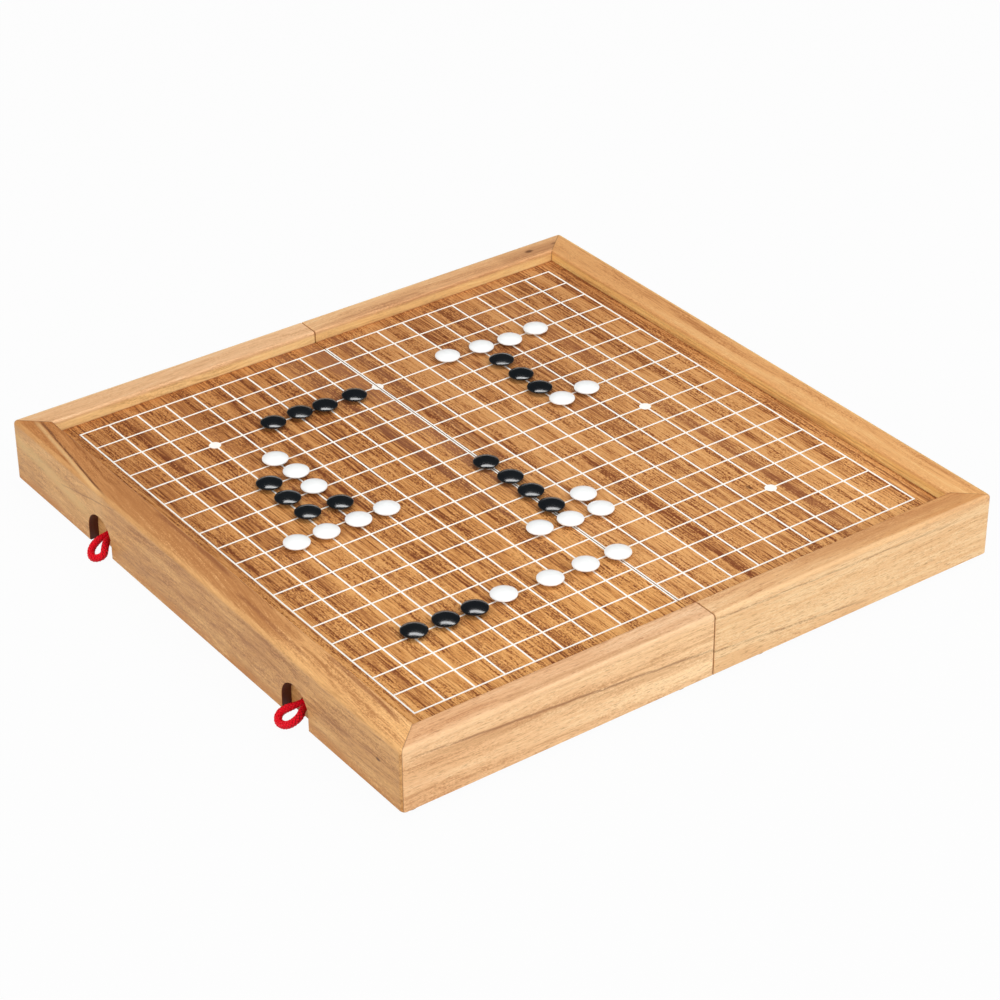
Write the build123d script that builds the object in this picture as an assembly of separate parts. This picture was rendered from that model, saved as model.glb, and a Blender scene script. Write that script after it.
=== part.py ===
from build123d import *
import math
import os

# Weiqi set on a folding board: two hollow wooden halves hinged at their lower edge, with stones set out on top.
# Millimetres. X runs along the seam, Y across it, Z up. The near half, with the red cord loops, is at -Y and
# the far half at +Y. The pads stand on Z = 0.

# Board
SIDE = 422.0                # outer size of the open board, both ways
SIDE_IN_CELLS = 21.1        # the same, in spacings of the printed lines
LINES = 19
GRID_BACK = 2.0             # the print sits a little towards the back end
SEAM_GAP = 0.7
PAD_T = 3.0
FRAME_H = 41.0              # rail height, without the pads
RIM_STEP = 8.0              # rail top above the playing surface
SIDE_RAIL_W = 19.5
END_RAIL_W = 17.5
PANEL_T = 7.0
GROOVE = 4.0                # how far the panel goes into the rails
HINGE_RAIL_W = 14.0
DIVIDER_T = 6.0
CORNER_R = 3.0
TOP_ROUND = 2.3
INNER_ROUND = 1.6
BOTTOM_EASE = 0.8
SEAM_EASE = 0.4

CELL = SIDE / SIDE_IN_CELLS
GRID_X = -GRID_BACK
RIM_Z = PAD_T
TOP_Z = RIM_Z + FRAME_H
SURFACE_Z = TOP_Z - RIM_STEP
PANEL_Z = SURFACE_Z - PANEL_T
OUT = SIDE / 2
INNER_X = OUT - END_RAIL_W
INNER_Y = OUT - SIDE_RAIL_W
SEAM_Y = SEAM_GAP / 2
BAY_Y = SEAM_Y + HINGE_RAIL_W
OVERRUN = 1.0               # how far a cut runs past the wood

# White print
LINE_W = 1.1
SEAM_LINE_W = 0.9
PRINT_T = 0.12
STAR_R = 3.7
STAR_STEP = 6               # star points are six lines apart

# Arched pockets, their cord holes, cords and pegs
POCKET_X = 107.0
POCKET_W = 27.0
POCKET_DEPTH = 6.5
POCKET_SHOULDER = 10.0      # straight part of the arch above the rail's lower face
HOLE_UP = 8.5               # hole centre above the rail's lower face
HOLE_R = 4.0
CORD_R = 1.8
STRAND_X = 1.9
KNOT_R = 6.0
KNOT_IN = 3.5               # knot centre behind the face it bears on
KNOT_BORE_DEPTH = 6.0       # counterbore in the rail's inner face
KNOT_CLEARANCE = 0.6
PEG_STEM_R = 2.0
PEG_HEAD_R = 3.6
PEG_HEAD_T = 1.6
PEG_OUT = 5.6               # from the pocket's back wall to the end of the head
PEG_IN = 8.0

# Box hinges
HINGE_X = 110.0
HINGE_L = 38.0
KNUCKLE_R = 1.2
PIN_R = 0.6
PIN_CLEARANCE = 0.05
KNUCKLE_GAP = 0.3
PIN_HEAD_R = 1.0
PIN_HEAD_T = 0.6
LEAF_T = 1.2
LEAF_W = 11.0
LEAF_SEAM = 0.35            # leaf edge to the middle of the seam
AXIS_Z = RIM_Z / 2
SCREW_PITCH = 13.0
SCREW_Y = 7.0
SCREW_R = 1.2
SCREW_HEAD_R = 2.3
SCREW_L = 9.0
SLOT_W = 0.6
SLOT_T = 0.5

# Felt pads: (x, distance from the seam) on each half, staggered so that no two meet when the board is folded
PAD_R = 6.0
PAD_IN = 9.0                # pad centre behind the rails' outer faces
PAD_STEP = 22.0             # between a near and a far pad at a corner
PAD_AT = OUT - PAD_IN
NEAR_PADS = [(-PAD_AT, PAD_AT), (PAD_AT, PAD_AT), (-PAD_AT, 20.0), (PAD_AT, 20.0)]
FAR_PADS = [(-PAD_AT + PAD_STEP, PAD_AT), (PAD_AT - PAD_STEP, PAD_AT), (-PAD_AT, 38.0), (PAD_AT, 38.0)]

# Stones, by run: (column, row) in cells from the middle of the print, as they lie in the photo
STONE_IN_CELL = 0.81        # stone's width to the spacing of the lines
STONE_D = STONE_IN_CELL * CELL
STONE_LENS_T = 5.6          # thickness its two domes would have without their flats
STONE_RIM_R = 0.7
STONE_FLAT_R = 1.8
BLACK_NEAR = {
    "stones_black_back_line": [(-5.92, -3.94), (-5.95, -2.95), (-5.85, -2.08), (-5.82, -1.0)],
    "stones_black_left_hook": [(-2.97, -5.96), (-1.95, -5.96), (-0.93, -5.92), (-0.82, -4.85)],
    "stones_black_seam_line": [(-0.1, -0.05), (1.02, 0.04), (2.02, 0.06), (3.02, 0.07)],
    "stones_black_front_line": [(5.96, -6.9), (6.03, -5.88), (6.06, -4.9)],
}
WHITE_NEAR = {
    "stones_white_left_line": [(-4.05, -5.06), (-3.07, -4.94), (-2.03, -4.98)],
    "stones_white_middle_line": [(0.26, -7.07), (0.28, -6.05), (0.29, -4.94), (0.27, -3.93)],
    "stones_white_seam_pair": [(3.82, -0.96), (3.97, 0.05)],
    "stones_white_front_line": [(5.98, -3.84), (6.12, -2.31), (6.14, -1.06), (6.2, 0.07)],
}
BLACK_FAR = {
    "stones_black_far_line": [(-4.89, 4.03), (-3.77, 3.98), (-2.75, 3.95)],
}
WHITE_FAR = {
    "stones_white_back_line": [(-6.12, 2.79), (-5.96, 4.01), (-5.81, 5.03), (-5.9, 6.14)],
    "stones_white_far_pair": [(-1.77, 4.09), (-1.85, 5.12)],
    "stones_white_right_pair": [(3.09, 1.2), (4.04, 1.12)],
}
# A dome passes over the crown and meets the rim's round without a corner, which gives its radius
STONE_DOME_R = (STONE_D**2 + STONE_LENS_T**2) / 4 - STONE_D * STONE_RIM_R
STONE_DOME_R /= STONE_LENS_T - 2 * STONE_RIM_R
STONE_DOME_LOW = STONE_DOME_R - STONE_LENS_T / 2      # a dome's centre beyond the stone's middle
STONE_T = 2 * (math.sqrt(STONE_DOME_R**2 - STONE_FLAT_R**2) - STONE_DOME_LOW)

# Cord loops: (x from the pocket's middle, outward from the rail's outer face, height above the floor)
HOLE_Z = RIM_Z + HOLE_UP
KNOT_FACE = SIDE_RAIL_W - KNOT_BORE_DEPTH
CORD_END = -KNOT_FACE
CORD_EXIT = -4.0
FRONT_LOOP = [
    (-STRAND_X, CORD_END, HOLE_Z),
    (-STRAND_X, CORD_EXIT, HOLE_Z),
    (-9.7, 4.2, 6.3),
    (-5.6, 8.7, 1.5),
    (4.9, 8.2, 5.3),
    (8.7, 1.9, 11.3),
    (STRAND_X, CORD_EXIT, HOLE_Z),
    (STRAND_X, CORD_END, HOLE_Z),
]
BACK_LOOP = [
    (-STRAND_X, CORD_END, HOLE_Z),
    (-STRAND_X, CORD_EXIT, HOLE_Z),
    (-4.5, 4.7, 4.3),
    (4.4, 9.5, 1.6),
    (10.1, 3.7, 4.9),
    (8.7, 1.7, 10.9),
    (STRAND_X, CORD_EXIT, HOLE_Z),
    (STRAND_X, CORD_END, HOLE_Z),
]


def block(x0, x1, y0, y1, z0, z1):
    """A box between two corners."""
    return Pos((x0 + x1) / 2, (y0 + y1) / 2, (z0 + z1) / 2) * Box(x1 - x0, y1 - y0, z1 - z0)


def rod(radius, start, length, direction):
    """A cylinder from a start point along a direction."""
    return Plane(origin=start, z_dir=direction) * Cylinder(
        radius, length, align=(Align.CENTER, Align.CENTER, Align.MIN)
    )


def far_side(shape):
    """The near half's piece carried over to the far half."""
    return mirror(shape, about=Plane.XZ)


def pocket_cutter(x):
    """The arched pocket in the near side rail's outer face, open at the rail's lower face."""
    shoulder_z = RIM_Z + POCKET_SHOULDER
    back_y = -OUT + POCKET_DEPTH
    straight = block(
        x - POCKET_W / 2, x + POCKET_W / 2, -OUT - OVERRUN, back_y, RIM_Z - OVERRUN, shoulder_z
    )
    arch = rod(POCKET_W / 2, (x, -OUT - OVERRUN, shoulder_z), POCKET_DEPTH + OVERRUN, (0, 1, 0))
    return straight + arch


def rim_edges(face):
    """A rail ring face's edges as (outer edges, inner edges), without those at the seam."""
    away = [e for e in face.edges() if abs(e.center().Y + SEAM_Y) > 0.01]
    inner = [e for e in away if abs(e.center().X) < INNER_X + 0.01 and e.center().Y > -INNER_Y - 0.01]
    outer = [e for e in away if e not in inner]
    return outer, inner


def frame_ring():
    """The near half's three outer rails before they are parted at the mitres."""
    ring = block(-OUT, OUT, -OUT, -SEAM_Y, RIM_Z, TOP_Z)
    ring = fillet(ring.edges().filter_by(Axis.Z).group_by(Axis.Y)[0], CORNER_R)
    ring -= block(-INNER_X, INNER_X, -INNER_Y, 0, RIM_Z - OVERRUN, TOP_Z + OVERRUN)
    ring = fillet(rim_edges(ring.faces().sort_by(Axis.Z)[-1])[0], TOP_ROUND)
    ring = fillet(rim_edges(ring.faces().sort_by(Axis.Z)[-1])[1], INNER_ROUND)
    ring = chamfer(rim_edges(ring.faces().sort_by(Axis.Z)[0])[0], BOTTOM_EASE)
    seam_edges = [
        e for e in ring.faces().filter_by(Axis.Y).sort_by(Axis.Y)[-1].edges()
        + ring.faces().filter_by(Axis.Y).sort_by(Axis.Y)[-2].edges()
        if e.center().Z > RIM_Z + BOTTOM_EASE
    ]
    return chamfer(seam_edges, SEAM_EASE)


def mitred(ring):
    """The side rail and the two end rails, parted from outer corner to inner corner."""
    def on_mitre(side, share):
        return side * (OUT - share * END_RAIL_W), -OUT + share * SIDE_RAIL_W

    beyond, within = -0.5, 1.5
    corners = [on_mitre(-1, beyond), on_mitre(1, beyond), on_mitre(1, within), on_mitre(-1, within)]
    side_wedge = extrude(make_face(Polyline(*corners, close=True)), TOP_Z + OVERRUN)
    side = ring & side_wedge
    front = (ring - side_wedge) & block(0, SIDE, -SIDE, 0, 0, TOP_Z + OVERRUN)
    return side, front, mirror(front, about=Plane.YZ)


def grid_print():
    """The near half of the printed grid, one thin layer with its star points."""
    half = (LINES - 1) // 2
    reach = half * CELL
    sheet = Sketch()
    for k in range(-half, half + 1):
        x = GRID_X + k * CELL
        sheet += Pos(x, -(reach + LINE_W / 2 + SEAM_Y) / 2) * Rectangle(LINE_W, reach + LINE_W / 2 - SEAM_Y)
    for k in range(1, half + 1):
        sheet += Pos(GRID_X, -k * CELL) * Rectangle(2 * reach + LINE_W, LINE_W)
    sheet += Pos(GRID_X, -SEAM_Y - SEAM_LINE_W / 2) * Rectangle(2 * reach + LINE_W, SEAM_LINE_W)
    for i in (-STAR_STEP, 0, STAR_STEP):
        for j in (-STAR_STEP, 0):
            sheet += Pos(GRID_X + i * CELL, j * CELL) * Circle(STAR_R)
    sheet &= Pos(0, -OUT / 2 - SEAM_Y) * Rectangle(SIDE, OUT)
    return extrude(Pos(0, 0, SURFACE_Z) * sheet, PRINT_T)


def screw(x, y):
    """A countersunk wood screw driven upwards, its head in the leaf's lower face."""
    sink = SCREW_HEAD_R - SCREW_R
    head = Pos(x, y, RIM_Z + sink / 2) * Cone(SCREW_HEAD_R, SCREW_R, sink)
    shank = rod(SCREW_R, (x, y, RIM_Z + sink), SCREW_L - sink, (0, 0, 1))
    body = head + shank
    slot = Pos(x, y, RIM_Z) * Box(2 * SCREW_HEAD_R + OVERRUN, SLOT_W, 2 * SLOT_T)
    return body, body - slot


def screw_places():
    """Centres of the near half's hinge screws."""
    return [
        (hinge + k * SCREW_PITCH, -SCREW_Y)
        for hinge in (-HINGE_X, HINGE_X)
        for k in (-1, 0, 1)
    ]


def knuckle_span(x, index):
    """Ends along X of one of a hinge's three knuckles."""
    length = (HINGE_L - 2 * KNUCKLE_GAP) / 3
    start = x - HINGE_L / 2 + index * (length + KNUCKLE_GAP)
    return start, start + length


def leaf(x, knuckles, bore_r):
    """The near leaf of the hinge at x with the knuckles asked for, bored for the pin."""
    plate = block(x - HINGE_L / 2, x + HINGE_L / 2, -LEAF_W, -LEAF_SEAM, RIM_Z, RIM_Z + LEAF_T)
    for index in knuckles:
        x0, x1 = knuckle_span(x, index)
        plate += block(x0, x1, -KNUCKLE_R, -LEAF_SEAM, AXIS_Z, RIM_Z + LEAF_T)
        plate += rod(KNUCKLE_R, (x0, 0, AXIS_Z), x1 - x0, (1, 0, 0))
    plate -= rod(bore_r, (x - HINGE_L, 0, AXIS_Z), 2 * HINGE_L, (1, 0, 0))
    for place in screw_places():
        plate -= screw(*place)[0]
    return plate


def hinge_pin(x):
    """The hinge's pin with a small head at each end."""
    pin = rod(PIN_R, (x - HINGE_L / 2, 0, AXIS_Z), HINGE_L, (1, 0, 0))
    pin += rod(PIN_HEAD_R, (x - HINGE_L / 2 - PIN_HEAD_T, 0, AXIS_Z), PIN_HEAD_T, (1, 0, 0))
    pin += rod(PIN_HEAD_R, (x + HINGE_L / 2, 0, AXIS_Z), PIN_HEAD_T, (1, 0, 0))
    return pin


def pads(places, sign):
    """A half's felt pads."""
    discs = [rod(PAD_R, (x, sign * y, 0), PAD_T, (0, 0, 1)) for x, y in places]
    return Compound(children=[chamfer(d.edges().group_by(Axis.Z)[0], 0.4) for d in discs])


def stone():
    """One stone, thicker in the middle, with a rounded rim and a small flat it lies on."""
    crown_z = STONE_T / 2
    edge = math.asin(STONE_FLAT_R / STONE_DOME_R)
    rim = math.atan2(STONE_D / 2 - STONE_RIM_R, STONE_DOME_LOW)
    dome = [
        (STONE_DOME_R * math.sin(a), STONE_DOME_R * math.cos(a) - STONE_DOME_LOW)
        for a in (edge, (edge + rim) / 2, rim)
    ]
    under = [(x, -z) for x, z in dome]
    outline = (
        Line((0, crown_z), dome[0])
        + ThreePointArc(*dome)
        + ThreePointArc(dome[2], (STONE_D / 2, 0), under[2])
        + ThreePointArc(under[2], under[1], under[0])
        + Line(under[0], (0, -crown_z))
        + Line((0, -crown_z), (0, crown_z))
    )
    return revolve(Plane.XZ * make_face(outline.edges()), Axis.Z, 360)


def stone_run(blank, places):
    """The stones of one run, each on the print."""
    z = SURFACE_Z + PRINT_T + STONE_T / 2
    return Compound(children=[Pos(GRID_X + i * CELL, j * CELL, z) * blank for i, j in places])


def cord_radii(points):
    """Bend radii of a route: 0.45 of the shorter run beside a corner over the tangent of half its turn."""
    radii = []
    for a, b, c in zip(points, points[1:], points[2:]):
        before, after = b - a, c - b
        turn = math.radians(before.get_angle(after))
        shorter = min(before.length, after.length)
        radii.append(0.45 * shorter / math.tan(turn / 2))
    return radii


def corded(points, radii):
    """Straight runs and tangent arcs through a route, as a list of edges."""
    edges = []
    start = points[0]
    for a, b, c, r in zip(points, points[1:], points[2:], radii):
        before, after = (b - a).normalized(), (c - b).normalized()
        half = math.radians(before.get_angle(after)) / 2
        cut = r * math.tan(half)
        p, q = b - before * cut, b + after * cut
        inward = (after - before).normalized()
        middle = b + inward * (r / math.cos(half) - r)
        edges += [Edge.make_line(start, p), Edge.make_three_point_arc(p, middle, q)]
        start = q
    edges.append(Edge.make_line(start, points[-1]))
    return edges


def loop(name, pocket_x, route):
    """A cord loop through a pocket's hole, with its knot in the counterbore behind."""
    points = [Vector(pocket_x + x, -OUT - out, z) for x, out, z in route]
    radii = cord_radii(points)
    edges = corded(points, radii)
    print(name, "length", round(sum(e.length for e in edges), 1), "radii", [round(r, 1) for r in radii])
    path = Wire(edges)
    section = Plane(origin=points[0], z_dir=(0, -1, 0)) * Circle(CORD_R)
    tube = sweep(section, path=path)
    face_y = -OUT + KNOT_FACE
    knot = Pos(pocket_x, face_y + KNOT_IN, HOLE_Z) * Sphere(KNOT_R)
    knot &= block(pocket_x - KNOT_R, pocket_x + KNOT_R, face_y, 0, 0, TOP_Z)
    return tube + knot


def peg(x):
    """A far pocket's peg, the near half's place mirrored over."""
    back = -OUT + POCKET_DEPTH
    stem = rod(PEG_STEM_R, (x, back - PEG_OUT + PEG_HEAD_T, HOLE_Z), PEG_OUT - PEG_HEAD_T + PEG_IN, (0, 1, 0))
    head = rod(PEG_HEAD_R, (x, back - PEG_OUT, HOLE_Z), PEG_HEAD_T, (0, 1, 0))
    head = fillet(head.edges().group_by(Axis.Y)[0], 0.6)
    return stem + head


# Wood of one half
ring = frame_ring()
ring -= block(-INNER_X - GROOVE, INNER_X + GROOVE, -INNER_Y - GROOVE, 0, PANEL_Z, SURFACE_Z)
for pocket in (-POCKET_X, POCKET_X):
    ring -= pocket_cutter(pocket)
side_rail, front_rail, back_rail = mitred(ring)
side_rail_near = side_rail
side_rail_far = side_rail
for pocket in (-POCKET_X, POCKET_X):
    side_rail_near -= rod(HOLE_R, (pocket, -OUT, HOLE_Z), SIDE_RAIL_W + OVERRUN, (0, 1, 0))
    side_rail_near -= rod(
        KNOT_R + KNOT_CLEARANCE, (pocket, -OUT + KNOT_FACE, HOLE_Z), KNOT_BORE_DEPTH + OVERRUN, (0, 1, 0)
    )
    side_rail_far -= peg(pocket)
panel = block(-INNER_X - GROOVE, INNER_X + GROOVE, -INNER_Y - GROOVE, -SEAM_Y, PANEL_Z, SURFACE_Z)
hinge_rail = block(-INNER_X, INNER_X, -BAY_Y, -SEAM_Y, RIM_Z, PANEL_Z)
for hinge in (-HINGE_X, HINGE_X):
    hinge_rail -= block(
        hinge - HINGE_L / 2, hinge + HINGE_L / 2, -LEAF_W, -SEAM_Y + OVERRUN, RIM_Z - OVERRUN, RIM_Z + LEAF_T
    )
for place in screw_places():
    hinge_rail -= screw(*place)[0]
divider = block(-DIVIDER_T / 2, DIVIDER_T / 2, -INNER_Y, -BAY_Y, RIM_Z, PANEL_Z)
grid = grid_print()
screws = Compound(children=[screw(*place)[1] for place in screw_places()])
blank = stone()

parts = {
    "near_side_rail": side_rail_near,
    "near_front_rail": front_rail,
    "near_back_rail": back_rail,
    "near_hinge_rail": hinge_rail,
    "near_panel": panel,
    "near_grid": grid,
    "near_divider": divider,
    "near_pads": pads(NEAR_PADS, -1),
    "near_hinge_screws": screws,
    "far_side_rail": far_side(side_rail_far),
    "far_front_rail": far_side(front_rail),
    "far_back_rail": far_side(back_rail),
    "far_hinge_rail": far_side(hinge_rail),
    "far_panel": far_side(panel),
    "far_grid": far_side(grid),
    "far_divider": far_side(divider),
    "far_pads": pads(FAR_PADS, 1),
    "far_hinge_screws": far_side(screws),
    "far_pegs": far_side(Compound(children=[peg(x) for x in (-POCKET_X, POCKET_X)])),
    "loop_front": loop("loop_front", POCKET_X, FRONT_LOOP),
    "loop_back": loop("loop_back", -POCKET_X, BACK_LOOP),
}
for end, hinge in (("back", -HINGE_X), ("front", HINGE_X)):
    parts[f"hinge_{end}_near_leaf"] = leaf(hinge, (0, 2), PIN_R)
    parts[f"hinge_{end}_far_leaf"] = far_side(leaf(hinge, (1,), PIN_R + PIN_CLEARANCE))
    parts[f"hinge_{end}_pin"] = hinge_pin(hinge)
for runs in (BLACK_NEAR, WHITE_NEAR, BLACK_FAR, WHITE_FAR):
    for name, places in runs.items():
        parts[name] = stone_run(blank, places)

os.makedirs("parts", exist_ok=True)
for name, shape in parts.items():
    export_step(shape, f"parts/{name}.step")
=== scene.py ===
"""Looks of the weiqi set: its woods, print, stones, red cord loops and hardware, in a plain studio."""
import logging
import math
from dataclasses import dataclass, field
from enum import Enum
from typing import Any

import bpy
import numpy as np
from mathutils import Matrix, Vector


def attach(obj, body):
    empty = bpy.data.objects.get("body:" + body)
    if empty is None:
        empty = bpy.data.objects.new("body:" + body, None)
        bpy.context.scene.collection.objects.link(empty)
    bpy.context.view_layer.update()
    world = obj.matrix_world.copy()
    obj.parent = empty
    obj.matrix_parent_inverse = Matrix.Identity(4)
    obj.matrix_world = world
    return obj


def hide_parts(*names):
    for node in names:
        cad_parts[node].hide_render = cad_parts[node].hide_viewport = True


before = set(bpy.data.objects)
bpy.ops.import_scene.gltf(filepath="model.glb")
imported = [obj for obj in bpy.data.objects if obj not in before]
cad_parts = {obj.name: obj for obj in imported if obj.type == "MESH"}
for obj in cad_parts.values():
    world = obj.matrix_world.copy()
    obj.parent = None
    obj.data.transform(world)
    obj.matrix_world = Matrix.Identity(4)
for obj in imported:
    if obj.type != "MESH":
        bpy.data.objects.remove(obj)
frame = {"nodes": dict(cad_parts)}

logging.basicConfig(level=logging.INFO, format="%(name)s: %(message)s")
log = logging.getLogger("weiqi_set")

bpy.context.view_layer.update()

Pair = tuple[float, float]
Triple = tuple[float, float, float]
Colour = Triple
Surface = tuple[np.ndarray, np.ndarray, np.ndarray]  # vertices, faces and UV corners
Socket = bpy.types.NodeSocket

# The board's own measures in millimetres, as in the CAD source.
HALF_SIDE = 211.0
RAIL_INNER_X = 193.5
RAIL_INNER_Y = 191.5
TOP_Z = 44.0
SURFACE_Z = 36.0
PRINT_THICK = 0.12
POCKET_X = 107.0
POCKET_HALF_WIDTH = 13.5
POCKET_BACK = 204.5
POCKET_TOP = 26.5
HOLE_Z = 11.5
MM = 0.001

# Defaults of the shader groups' inputs.
ORIGIN = (0.0, 0.0, 0.0)
WHITE = (1.0, 1.0, 1.0, 1.0)


class Graph:
    """A shader tree being wired. Each call adds a node, and most hand back the socket that leaves it."""

    def __init__(self, tree: bpy.types.NodeTree) -> None:
        """Takes the tree to wire, a material's, a world's or a shader node group's."""
        self.tree = tree

    def feed(self, socket: Socket, value: Any) -> None:
        """Links a socket to another socket, or sets it to a plain value.

        Args:
            socket: the input to feed.
            value: a socket, a number, a colour or a vector.
        """
        if isinstance(value, bpy.types.NodeSocket):
            self.tree.links.new(value, socket)
            return
        if socket.type == "RGBA" and len(value) == 3:
            value = (*value, 1.0)
        socket.default_value = value

    def add(self, kind: str, inputs: dict[Any, Any] | None = None, **settings: Any) -> bpy.types.Node:
        """Adds one node.

        Args:
            kind: the node's class name without its ShaderNode prefix.
            inputs: values or sockets by input name or number.
            **settings: the node's own settings.

        Returns:
            The node.
        """
        node = self.tree.nodes.new("ShaderNode" + kind)
        for name, value in settings.items():
            setattr(node, name, value)
        for key, value in (inputs or {}).items():
            self.feed(node.inputs[key], value)
        return node

    def math(self, operation: str, *values: Any, clamp: bool = False) -> Socket:
        """A Math node of one operation on one to three values."""
        return self.add("Math", dict(enumerate(values)), operation=operation, use_clamp=clamp).outputs[0]

    def times(self, a: Any, b: Any) -> Socket:
        """One value times another."""
        return self.math("MULTIPLY", a, b)

    def over(self, a: Any, b: Any) -> Socket:
        """One value divided by another."""
        return self.math("DIVIDE", a, b)

    def minus(self, a: Any, b: Any) -> Socket:
        """One value less another."""
        return self.math("SUBTRACT", a, b)

    def times_plus(self, a: Any, b: Any, c: Any, clamp: bool = False) -> Socket:
        """One value times another, plus a third."""
        return self.math("MULTIPLY_ADD", a, b, c, clamp=clamp)

    def larger(self, a: Any, b: Any) -> Socket:
        """The larger of two values."""
        return self.math("MAXIMUM", a, b)

    def smaller(self, a: Any, b: Any) -> Socket:
        """The smaller of two values."""
        return self.math("MINIMUM", a, b)

    def size(self, value: Any) -> Socket:
        """A value without its sign."""
        return self.math("ABSOLUTE", value)

    def ramp(self, value: Any, zero: float, one: float) -> Socket:
        """A smooth step that is 0 at and beyond one end and 1 at and beyond the other."""
        ends = {"Value": value, "From Min": zero, "From Max": one}
        return self.add("MapRange", ends, interpolation_type="SMOOTHSTEP").outputs["Result"]

    def scaled(self, vector: Socket, by: Any) -> Socket:
        """A vector times another, or times one number on every axis."""
        by = by if isinstance(by, (tuple, bpy.types.NodeSocket)) else (by, by, by)
        return self.add("VectorMath", {0: vector, 1: by}, operation="MULTIPLY").outputs[0]

    def moved(self, vector: Socket, by: Any) -> Socket:
        """A vector plus another."""
        return self.add("VectorMath", {0: vector, 1: by}, operation="ADD").outputs[0]

    def noise(self, vector: Socket, detail: float = 2.0, roughness: float = 0.5) -> Socket:
        """Smooth noise about 0 with one feature to each unit of the vector."""
        node = self.add("TexNoise", {"Vector": vector, "Scale": 1.0, "Detail": detail, "Roughness": roughness})
        return self.minus(node.outputs["Fac"], 0.5)

    def blend(self, share: Any, a: Any, b: Any, mode: str = "MIX") -> Socket:
        """Colour a turned into colour b, or combined with it, by a share."""
        node = self.add("Mix", {0: share, 6: a, 7: b}, data_type="RGBA", blend_type=mode, clamp_factor=True)
        return node.outputs[2]

    def split(self, vector: Socket) -> tuple[Socket, Socket, Socket]:
        """A vector's three components."""
        return tuple(self.add("SeparateXYZ", {0: vector}).outputs[:3])

    def joined(self, x: Any, y: Any, z: Any) -> Socket:
        """A vector from three components."""
        return self.add("CombineXYZ", {0: x, 1: y, 2: z}).outputs[0]

    def group(self, tree: bpy.types.NodeTree, **inputs: Any) -> bpy.types.Node:
        """Places a shader node group.

        Args:
            tree: the group.
            **inputs: the value or socket of each of its inputs, spaces in the names written as _.

        Returns:
            The group's node.
        """
        node = self.add("Group", node_tree=tree)
        for name, value in inputs.items():
            self.feed(node.inputs[name.replace("_", " ").title()], value)
        return node

    def mix(self, share: Any, a: bpy.types.Node, b: bpy.types.Node) -> bpy.types.Node:
        """Shader a turned into shader b by a share."""
        return self.add("MixShader", {0: share, 1: a.outputs[0], 2: b.outputs[0]})

    def surface(self, shader: bpy.types.Node, output: str = "OutputMaterial") -> None:
        """Leads a shader to the surface of the tree's output node."""
        self.feed(self.add(output).inputs["Surface"], shader.outputs[0])


def open_tree(owner: bpy.types.Material | bpy.types.World) -> Graph:
    """Empties a tree to be wired anew.

    Args:
        owner: the material or the world whose tree it is.

    Returns:
        The tree's graph.
    """
    owner.use_nodes = True
    owner.node_tree.nodes.clear()
    return Graph(owner.node_tree)


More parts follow.
